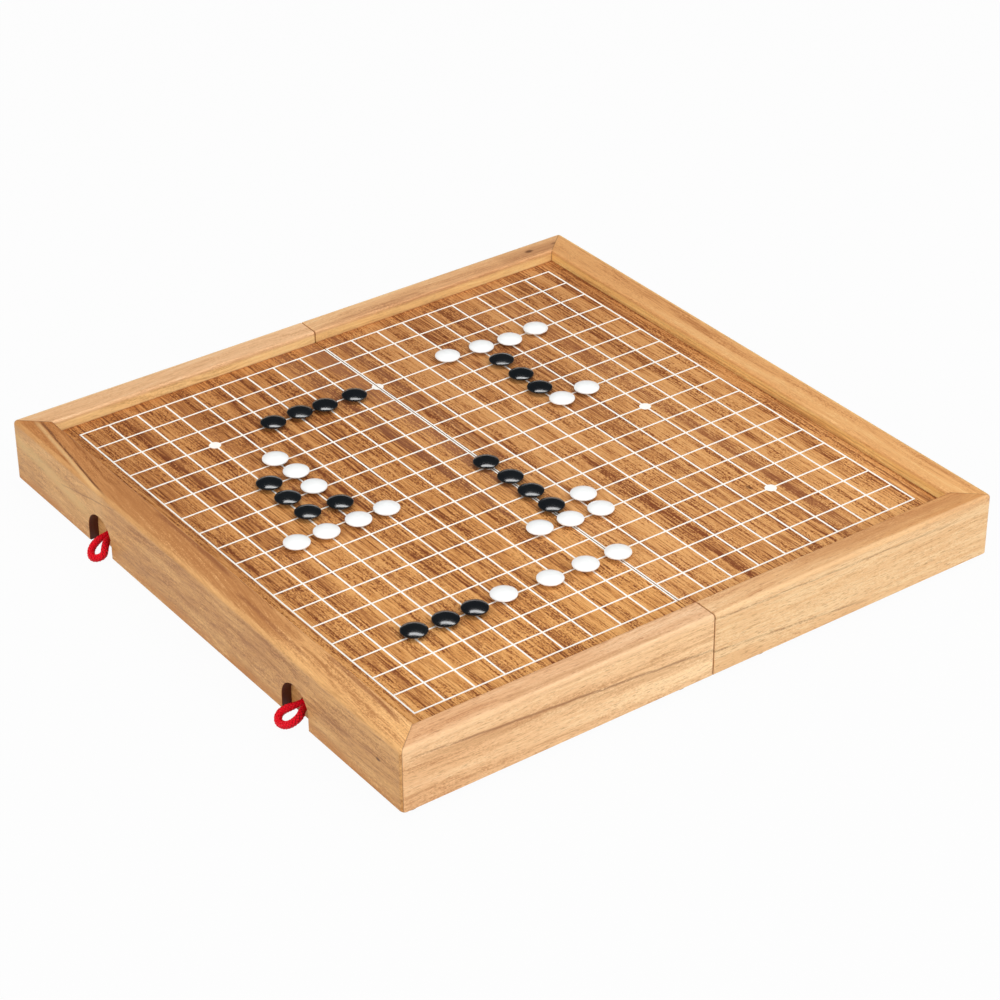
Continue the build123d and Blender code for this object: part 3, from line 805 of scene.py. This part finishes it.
def tube_quads(rings: int, sides: int, offset: int = 0) -> np.ndarray:
    """Quads of a tube's wall, ring by ring, then of its two ends, each cut into strips from side to side.

    Args:
        rings: how many rings the tube has.
        sides: how many points each ring has, an even number.
        offset: the number of the tube's first point.

    Returns:
        (n, 4) point numbers.
    """
    ring, side = np.meshgrid(np.arange(rings - 1), np.arange(sides), indexing="ij")
    after = (side + 1) % sides
    low, high = ring * sides, (ring + 1) * sides
    wall = np.stack([low + side, low + after, high + after, high + side], axis=-1).reshape(-1, 4)
    k = np.arange(sides // 2 - 1)
    last = np.stack([k, k + 1, sides - 2 - k, sides - 1 - k], axis=-1)
    return np.concatenate([wall, last[:, ::-1], last + (rings - 1) * sides]) + offset


def tube_uv(lengths: np.ndarray, sides: int) -> np.ndarray:
    """UV corners for the quads of tube_quads: U is the length in millimetres, V runs once round.

    Args:
        lengths: the length along the tube at each ring, in metres.
        sides: how many points each ring has.

    Returns:
        (n, 4, 2) UV coordinates.
    """
    ring, side = np.meshgrid(np.arange(len(lengths) - 1), np.arange(sides), indexing="ij")
    u = lengths[np.stack([ring, ring, ring + 1, ring + 1], axis=-1)] / MM
    v = np.stack([side, side + 1, side + 1, side], axis=-1) / sides
    wall = np.stack([u, v], axis=-1).reshape(-1, 4, 2)
    ends = np.repeat(lengths[[0, -1]] / MM, sides // 2 - 1)[:, None]
    return np.concatenate([wall, np.stack([np.repeat(ends, 4, axis=1), np.zeros((len(ends), 4))], axis=-1)])


@dataclass
class Path:
    """A line through space with a frame at each of its points: tangent, side and up."""

    points: np.ndarray
    reference: Triple = (0.0, 0.0, 1.0)
    length: np.ndarray = field(init=False)
    tangent: np.ndarray = field(init=False)
    side: np.ndarray = field(init=False)
    up: np.ndarray = field(init=False)

    def __post_init__(self) -> None:
        """Works out the frames: up is the reference direction less its part along the tangent."""
        step = np.linalg.norm(np.diff(self.points, axis=0), axis=1)
        self.length = np.concatenate([[0.0], np.cumsum(step)])
        self.tangent = np.gradient(self.points, self.length, axis=0)
        self.tangent /= np.linalg.norm(self.tangent, axis=1, keepdims=True)
        along = (self.tangent @ np.array(self.reference))[:, None] * self.tangent
        self.up = np.array(self.reference) - along
        self.up /= np.linalg.norm(self.up, axis=1, keepdims=True)
        self.side = np.cross(self.tangent, self.up)

    @staticmethod
    def evenly(points: np.ndarray, step: float) -> np.ndarray:
        """Spaces a line's points evenly.

        Args:
            points: the line's points.
            step: about how far apart the new ones are.

        Returns:
            The new points.
        """
        run = np.concatenate([[0.0], np.cumsum(np.linalg.norm(np.diff(points, axis=0), axis=1))])
        want = np.linspace(0.0, run[-1], max(int(round(run[-1] / step)), 2) + 1)
        return np.stack([np.interp(want, run, points[:, k]) for k in range(3)], axis=1)


@dataclass(frozen=True)
class Braid:
    """A round braid: as many plaits wind left as right, each over one and under the next."""

    radius: float = 2.45 * MM
    plaits: int = 6
    pitch: float = 11.0 * MM
    plait_width: float = 0.80 * MM
    plait_thick: float = 0.48 * MM
    weave: float = 0.32 * MM
    squeeze: float = 0.0
    squeezed: float = 9.0 * MM
    eased: float = 7.0 * MM
    sides: int = 8
    core_share: float = 0.70
    core_sides: int = 16

    def radii(self, path: Path) -> np.ndarray:
        """The braid's radius along a path, pressed smaller near both ends.

        With t the way past the squeezed length over the eased length, held between 0 and 1, the radius is less by
        the squeeze times 1 - t^2 (3 - 2 t).

        Args:
            path: the cord's middle line.

        Returns:
            The radius at each of its points.
        """
        near = np.minimum(path.length, path.length[-1] - path.length)
        t = np.clip((near - self.squeezed) / self.eased, 0.0, 1.0)
        return self.radius * (1 - self.squeeze * (1 - t ** 2 * (3 - 2 * t)))

    def strands(self, path: Path) -> Surface:
        """The plaits' surface along a path.

        A plait's middle stands off the path by the braid's radius less its own thickness, plus or minus the weave
        times the cosine of plaits times the winding angle, so that it rises over one plait and dips under the
        next. Its section is an ellipse, wide along the braid's surface and thin across it.

        Args:
            path: the cord's middle line.

        Returns:
            Vertices, faces and UV corners.
        """
        turn = 2 * np.pi * path.length / self.pitch
        hand = np.repeat([1.0, -1.0], self.plaits)[:, None]
        start = np.tile(np.arange(self.plaits) * 2 * np.pi / self.plaits, 2)[:, None]
        angle = hand * turn[None, :] + start
        lift = self.radii(path) - self.plait_thick - self.weave
        lift = lift + hand * self.weave * np.cos(self.plaits * turn)[None, :]
        out = np.cos(angle)[..., None] * path.side + np.sin(angle)[..., None] * path.up
        middle = path.points + lift[..., None] * out
        run = np.gradient(middle, axis=1)
        run /= np.linalg.norm(run, axis=2, keepdims=True)
        wide = np.cross(run, out)
        wide /= np.linalg.norm(wide, axis=2, keepdims=True)
        high = np.cross(wide, run)
        around = np.linspace(0.0, 2 * np.pi, self.sides, endpoint=False)
        section = (self.plait_width * np.cos(around)[:, None] * wide[:, :, None, :]
                   + self.plait_thick * np.sin(around)[:, None] * high[:, :, None, :])
        points = (middle[:, :, None, :] + section).reshape(-1, 3)
        rings = len(path.length)
        each = rings * self.sides
        faces = np.concatenate([tube_quads(rings, self.sides, k * each) for k in range(2 * self.plaits)])
        dip = self.pitch / self.plaits
        uv = np.concatenate([tube_uv(path.length + (5 * k + 0.5 * (k >= self.plaits)) * dip, self.sides)
                             for k in range(2 * self.plaits)])
        return points, faces, uv

    def core(self, path: Path) -> Surface:
        """The round core that shows between the plaits, a circle of a share of the radius carried along the path.

        Args:
            path: the cord's middle line.

        Returns:
            Vertices, faces and UV corners.
        """
        around = np.linspace(0.0, 2 * np.pi, self.core_sides, endpoint=False)
        ring = np.cos(around)[:, None] * path.side[:, None, :] + np.sin(around)[:, None] * path.up[:, None, :]
        points = (path.points[:, None, :] + (self.radii(path) * self.core_share)[:, None, None] * ring).reshape(-1, 3)
        return points, tube_quads(len(path.length), self.core_sides), tube_uv(path.length, self.core_sides)


@dataclass
class CordLoop:
    """One red cord loop through a pocket's hole, its knot behind the rail.

    The bend is the route's middle points in millimetres, each as its place beside the pocket's middle, its place out
    from the rail and its height. Two strands side by side join it to the hole.
    """

    name: str
    node: str
    pocket_x: float
    bend: tuple[Triple, ...]
    cord_length: float
    braid: Braid = Braid(squeeze=0.2)
    step: float = 0.22 * MM
    strand_x: float = 1.9
    strand_runs: Pair = (-13.5, -4.0)
    knot_ring: float = 2.5 * MM
    knot_wave: float = 1.75 * MM
    knot_steps: int = 240
    knot_middle: float = 194.0 * MM
    knot_braid: Braid = Braid(radius=1.55 * MM, plait_width=0.58 * MM, plait_thick=0.30 * MM, weave=0.18 * MM)

    def centreline(self) -> np.ndarray:
        """The loop's middle line: a NURBS curve of order 3 with the route's points as its control points.

        Returns:
            (n, 3) points about a step apart, in metres.
        """
        strand = [(self.strand_x, out, HOLE_Z) for out in self.strand_runs]
        route = [(-x, out, z) for x, out, z in strand] + list(self.bend) + strand[::-1]
        curve = bpy.data.curves.new(self.name + "_line", "CURVE")
        curve.dimensions = "3D"
        curve.resolution_u = 24
        spline = curve.splines.new("NURBS")
        spline.points.add(len(route) - 1)
        points = np.array([((self.pocket_x + x) * MM, (-HALF_SIDE - out) * MM, z * MM, 1.0) for x, out, z in route])
        spline.points.foreach_set("co", points.ravel())
        spline.order_u = 3
        spline.use_endpoint_u = True
        line = bpy.data.objects.new(self.name + "_line", curve)
        bpy.context.scene.collection.objects.link(line)
        bpy.context.view_layer.update()
        mesh = bpy.data.meshes.new_from_object(line)
        found = np.zeros(len(mesh.vertices) * 3)
        mesh.vertices.foreach_get("co", found)
        bpy.data.objects.remove(line)
        return Path.evenly(found.reshape(-1, 3), self.step)

    def knot_line(self) -> np.ndarray:
        """The knot's middle line, a trefoil about the Y axis in the counterbore.

        At an angle t from 0 to a full turn the distance from the axis is the ring plus the wave's cosine of 3t, the
        angle about the axis is 2t, and the place along the axis is the wave's sine of 3t.

        Returns:
            (n, 3) points, in metres.
        """
        t = np.linspace(0.0, 2 * np.pi, self.knot_steps)
        reach = self.knot_ring + self.knot_wave * np.cos(3 * t)
        return np.stack([
            self.pocket_x * MM + reach * np.cos(2 * t),
            -self.knot_middle + self.knot_wave * np.sin(3 * t),
            HOLE_Z * MM + reach * np.sin(2 * t),
        ], axis=1)

    def build(self, yarn: bpy.types.Material, core: bpy.types.Material) -> None:
        """Args:
            yarn: the plaits' material.
            core: the dark material of what shows between them, a painted shade for the gaps between the plaits.
        """
        points = self.centreline()
        path = Path(points)
        loop = place_mesh(self.name, yarn, *self.braid.strands(path))
        filling = place_mesh(self.name + "_core", core, *self.braid.core(path))
        knot_path = Path(Path.evenly(self.knot_line(), self.step), reference=(0.0, 1.0, 0.0))
        knot = place_mesh(self.name + "_knot", yarn, *self.knot_braid.strands(knot_path))
        heart = place_mesh(self.name + "_knot_core", core, *self.knot_braid.core(knot_path))
        for piece in (loop, filling, knot, heart):
            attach(piece, "near_half")
        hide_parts(self.node)
        low = min(corner.co.z for corner in loop.data.vertices)
        log.info("%s: %d faces, lowest point %.2f mm", self.name, len(loop.data.polygons), low / MM)


class Board:
    """The folding board: dresses its wooden pieces, print, pegs and hinges."""

    def __init__(self, nodes: dict[str, bpy.types.Object], effects: Effects) -> None:
        """Takes the CAD nodes and the shared effects."""
        self.nodes = nodes
        self.effects = effects

    def dress(self, made: bpy.types.Material, *names: str) -> None:
        """Gives CAD nodes one material.

        Args:
            made: the material.
            *names: the nodes.
        """
        for name in names:
            mesh = self.nodes[name].data
            mesh.materials.clear()
            mesh.materials.append(made)
            log.info("%s wears %s", name, made.name)

    def build(self, woods: BoardWoods, small: SmallFinishes) -> None:
        """Dresses every piece of the board. A rail's or panel's wood bears its node's name.

        Args:
            woods: the woods.
            small: the other finishes.
        """
        for wood in (woods.near_side, woods.near_front, woods.near_back, woods.far_side, woods.far_front,
                     woods.far_back, woods.near_panel, woods.far_panel):
            self.dress(wood.material(self.effects), wood.name.removesuffix("_wood"))
        for finish, names in (
            (woods.inside, ("near_hinge_rail", "far_hinge_rail")),
            (woods.divider, ("near_divider", "far_divider")),
            (woods.pegs, ("far_pegs",)),
            (small.print_white, ("near_grid", "far_grid")),
            (small.steel, ("near_hinge_screws", "far_hinge_screws", "hinge_back_pin", "hinge_front_pin")),
            (small.brass, ("hinge_back_near_leaf", "hinge_back_far_leaf", "hinge_front_near_leaf",
                           "hinge_front_far_leaf")),
        ):
            self.dress(finish.material(self.effects), *names)


@dataclass
class Stones:
    """The playing stones: two shallow domes with small flats at their poles and a round rim."""

    width: float = 16.2 * MM
    lens: float = 5.6 * MM
    rim: float = 0.7 * MM
    flat: float = 1.8 * MM
    cell: float = 20.0 * MM
    print_x: float = -2.0 * MM
    on_print: float = (SURFACE_Z + PRINT_THICK) * MM
    rest_gap: float = 0.01 * MM
    dome_rings: int = 10
    rim_rings: int = 6

    def profile(self) -> tuple[np.ndarray, np.ndarray]:
        """Half a stone's outline as reach and height, from the pole to the rim.

        The dome's radius is the one whose arc passes over the lens's crown and meets the rim's circle without a
        corner. Each arc's point at an angle a from the axis is its centre plus its radius times sine and cosine
        of a.

        Returns:
            Each ring's distance from the axis and its height above the middle plane, in metres.
        """
        dome = ((self.width ** 2 + self.lens ** 2) / 4 - self.width * self.rim) / (self.lens - 2 * self.rim)
        low = dome - self.lens / 2
        edge = math.asin(self.flat / dome)
        meet = math.atan2(self.width / 2 - self.rim, low)
        a = np.linspace(edge, meet, self.dome_rings)
        b = np.linspace(meet, np.pi / 2, self.rim_rings)[1:]
        crown = dome * math.cos(edge) - low
        reach = np.concatenate([[0.0, self.flat / 2], dome * np.sin(a), self.width / 2 + self.rim * (np.sin(b) - 1)])
        height = np.concatenate([[crown, crown], dome * np.cos(a) - low, self.rim * np.cos(b)])
        height[-1] = 0.0
        return reach, height

    def build(self, small: SmallFinishes, effects: Effects) -> None:
        """Makes each run of stones as one piece.

        Args:
            small: the stones' finishes among others.
            effects: the shared shader groups.
        """
        polish = {"black": small.black_stone.material(effects), "white": small.white_stone.material(effects)}
        reach, height = self.profile()
        z = self.on_print + height[0] + self.rest_gap
        for (half, colour), runs in STONE_RUNS.items():
            for name, places in runs.items():
                centres = np.array([(self.print_x + i * self.cell, j * self.cell, z) for i, j in places])
                forms = round_forms(reach, height, centres)
                made = place_mesh(f"{colour}_{name}_stones", polish[colour], *forms)
                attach(made, f"{half}_{colour}_stones")
                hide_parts(f"stones_{colour}_{name}")
                log.info("%s: %d stones", made.name, len(places))


@dataclass
class FeltPads:
    """One half's felt pads, pressed discs with rounded edges, at places in millimetres."""

    name: str
    node: str
    body: str
    places: tuple[Pair, ...]
    radius: float = 6.0 * MM
    thick: float = 3.0 * MM
    rings: int = 20
    roundness: float = 0.35

    def build(self, felt: bpy.types.Material) -> None:
        """Makes the pads as one piece.

        At an angle t from 0 at the pole to a quarter turn at the rim, a pad's reach is its radius times the sine of t
        to the power of the roundness, and its height is half its thickness times the cosine to the same power, so
        that its faces are nearly flat and its edge is round.

        Args:
            felt: the pads' material.
        """
        t = np.linspace(0.0, np.pi / 2, self.rings + 1)
        reach = self.radius * np.sin(t) ** self.roundness
        height = self.thick / 2 * np.clip(np.cos(t), 0.0, 1.0) ** self.roundness
        height[-1] = 0.0
        centres = np.array([(x * MM, y * MM, self.thick / 2) for x, y in self.places])
        made = place_mesh(self.name, felt, *round_forms(reach, height, centres))
        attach(made, self.body)
        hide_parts(self.node)
        log.info("%s: %d pads", self.name, len(self.places))


@dataclass
class Studio:
    """A white floor, soft lamps and the photograph's camera."""

    camera_place: Triple = (1.24179, -0.89477, 0.97252)
    camera_turn: Triple = (57.9163, 0.3074, 53.8422)
    lens: float = 107.12
    floor_half: float = 4.0
    floor_glow: float = 0.965
    floor_grey: Colour = (0.45, 0.45, 0.45)
    sky: float = 0.47
    backdrop_top: float = 0.05
    backdrop_fade: float = 0.12
    backdrop_dim: Colour = (0.035, 0.038, 0.043)
    lamp_aim: Triple = (0.0, 0.0, 0.03)

    def lamp(self, name: str, place: Triple, size: Pair, power: float,
             along: Triple = (0.0, 0.0, 1.0), in_gloss: bool = True) -> None:
        """Adds one rectangular soft lamp that faces the board's middle.

        Args:
            name: the lamp's name.
            place: where it stands, in metres.
            size: its width and height, in metres.
            power: its power in watts.
            along: the way its width runs.
            in_gloss: whether polished faces mirror it.
        """
        data = bpy.data.lights.new(name, "AREA")
        data.shape = "RECTANGLE"
        data.size, data.size_y = size
        data.energy = power
        made = bpy.data.objects.new(name, data)
        made.location = place
        z = (Vector(place) - Vector(self.lamp_aim)).normalized()
        x = (Vector(along) - z * z.dot(Vector(along))).normalized()
        made.rotation_euler = Matrix((x, z.cross(x), z)).transposed().to_euler()
        made.visible_glossy = in_gloss
        bpy.context.scene.collection.objects.link(made)

    def floor(self) -> None:
        """Lays the floor: white to the camera and to gloss, part of the shadow left on it, clear from below."""
        h = self.floor_half
        points = np.array([(-h, -h, 0), (h, -h, 0), (h, h, 0), (-h, h, 0)], float)
        skin = bpy.data.materials.new("floor_white")
        g = open_tree(skin)
        rays = g.add("LightPath").outputs
        seen = g.larger(rays["Is Camera Ray"], g.larger(rays["Is Glossy Ray"], rays["Is Transmission Ray"]))
        matt = g.add("BsdfDiffuse", {"Color": self.floor_grey})
        glow = g.add("Emission", {"Color": WHITE, "Strength": 1.0})
        both = g.mix(g.times(seen, self.floor_glow), matt, glow)
        g.surface(g.mix(g.add("NewGeometry").outputs["Backfacing"], both, g.add("BsdfTransparent")))
        made = place_mesh("studio_floor", skin, points, np.array([[0, 1, 2, 3]]))

    def world(self) -> None:
        """Sets the world: a plain sky that lights, and a white backdrop for the camera, gloss and glass."""
        world = bpy.data.worlds.new("studio_world")
        bpy.context.scene.world = world
        g = open_tree(world)
        rays = g.add("LightPath").outputs
        _, _, up = g.split(g.add("TexCoord").outputs["Generated"])
        wall = g.ramp(up, self.backdrop_top + self.backdrop_fade, self.backdrop_top)
        mirror = g.larger(rays["Is Glossy Ray"], rays["Is Transmission Ray"])
        light = g.add("Background", {"Color": WHITE, "Strength": self.sky})
        dim = g.add("Background", {"Color": self.backdrop_dim, "Strength": 1.0})
        white = g.add("Background", {"Color": WHITE, "Strength": 1.0})
        lit = g.mix(mirror, light, g.mix(wall, dim, white))
        g.surface(g.mix(rays["Is Camera Ray"], lit, white), "OutputWorld")

    def camera(self) -> None:
        """Sets up the camera where the photograph was taken from."""
        data = bpy.data.cameras.new("camera")
        data.lens = self.lens
        data.sensor_width = 36.0
        made = bpy.data.objects.new("camera", data)
        made.location = self.camera_place
        made.rotation_euler = [math.radians(a) for a in self.camera_turn]
        bpy.context.scene.collection.objects.link(made)
        bpy.context.scene.camera = made

    def build(self) -> None:
        """Puts the studio together."""
        self.floor()
        self.world()
        self.lamp("lamp_overhead", (0.13, 0.44, 2.2), (2.6, 0.5), 24.0, along=(0.6, 0.8, 0.0))
        self.lamp("lamp_front", (2.4, 0.3, 1.0), (1.4, 1.4), 31.0, in_gloss=False)
        self.lamp("lamp_side", (0.3, -2.4, 1.0), (1.4, 1.4), 27.0, in_gloss=False)
        self.camera()
        bpy.context.scene.view_settings.view_transform = "Standard"
        log.info("studio ready")


# Runs of stones by the half they lie on and their colour, in cells from the middle of the print.
STONE_RUNS: dict[tuple[str, str], dict[str, tuple[Pair, ...]]] = {
    ("near", "black"): {
        "back_line": ((-5.92, -3.94), (-5.95, -2.95), (-5.85, -2.08), (-5.82, -1.0)),
        "left_hook": ((-2.97, -5.96), (-1.95, -5.96), (-0.93, -5.92), (-0.82, -4.85)),
        "seam_line": ((-0.1, -0.05), (1.02, 0.04), (2.02, 0.06), (3.02, 0.07)),
        "front_line": ((5.96, -6.9), (6.03, -5.88), (6.06, -4.9)),
    },
    ("near", "white"): {
        "left_line": ((-4.05, -5.06), (-3.07, -4.94), (-2.03, -4.98)),
        "middle_line": ((0.26, -7.07), (0.28, -6.05), (0.29, -4.94), (0.27, -3.93)),
        "seam_pair": ((3.82, -0.96), (3.97, 0.05)),
        "front_line": ((5.98, -3.84), (6.12, -2.31), (6.14, -1.06), (6.2, 0.07)),
    },
    ("far", "black"): {"far_line": ((-4.89, 4.03), (-3.77, 3.98), (-2.75, 3.95))},
    ("far", "white"): {
        "back_line": ((-6.12, 2.79), (-5.96, 4.01), (-5.81, 5.03), (-5.9, 6.14)),
        "far_pair": ((-1.77, 4.09), (-1.85, 5.12)),
        "right_pair": ((3.09, 1.2), (4.04, 1.12)),
    },
}
NEAR_PADS = ((-202.0, -202.0), (202.0, -202.0), (-202.0, -20.0), (202.0, -20.0))
FAR_PADS = ((-180.0, 202.0), (180.0, 202.0), (-202.0, 38.0), (202.0, 38.0))
FRONT_BEND = ((-9.3, 4.4, 5.9), (-5.4, 8.5, 2.0), (4.7, 8.0, 5.2), (8.7, 1.9, 11.3))
BACK_BEND = ((-4.3, 4.7, 4.5), (4.3, 9.2, 2.1), (10.1, 3.7, 4.9), (8.7, 1.7, 10.9))


def main() -> None:
    """Builds the studio, the board, the stones and the cord loops."""
    effects = Effects()
    small = SmallFinishes()
    Studio().build()
    Board(frame["nodes"], effects).build(BoardWoods(), small)
    Stones().build(small, effects)
    yarn, core = small.cord.material(), small.core.material()
    felt = small.felt.material(effects)
    FeltPads("near_felt_pads", "near_pads", "near_half", NEAR_PADS).build(felt)
    FeltPads("far_felt_pads", "far_pads", "far_half", FAR_PADS).build(felt)
    CordLoop("cord_loop_front", "loop_front", POCKET_X, FRONT_BEND, cord_length=0.0639).build(yarn, core)
    CordLoop("cord_loop_back", "loop_back", -POCKET_X, BACK_BEND, cord_length=0.0604).build(yarn, core)


if __name__ == "__main__":
    main()
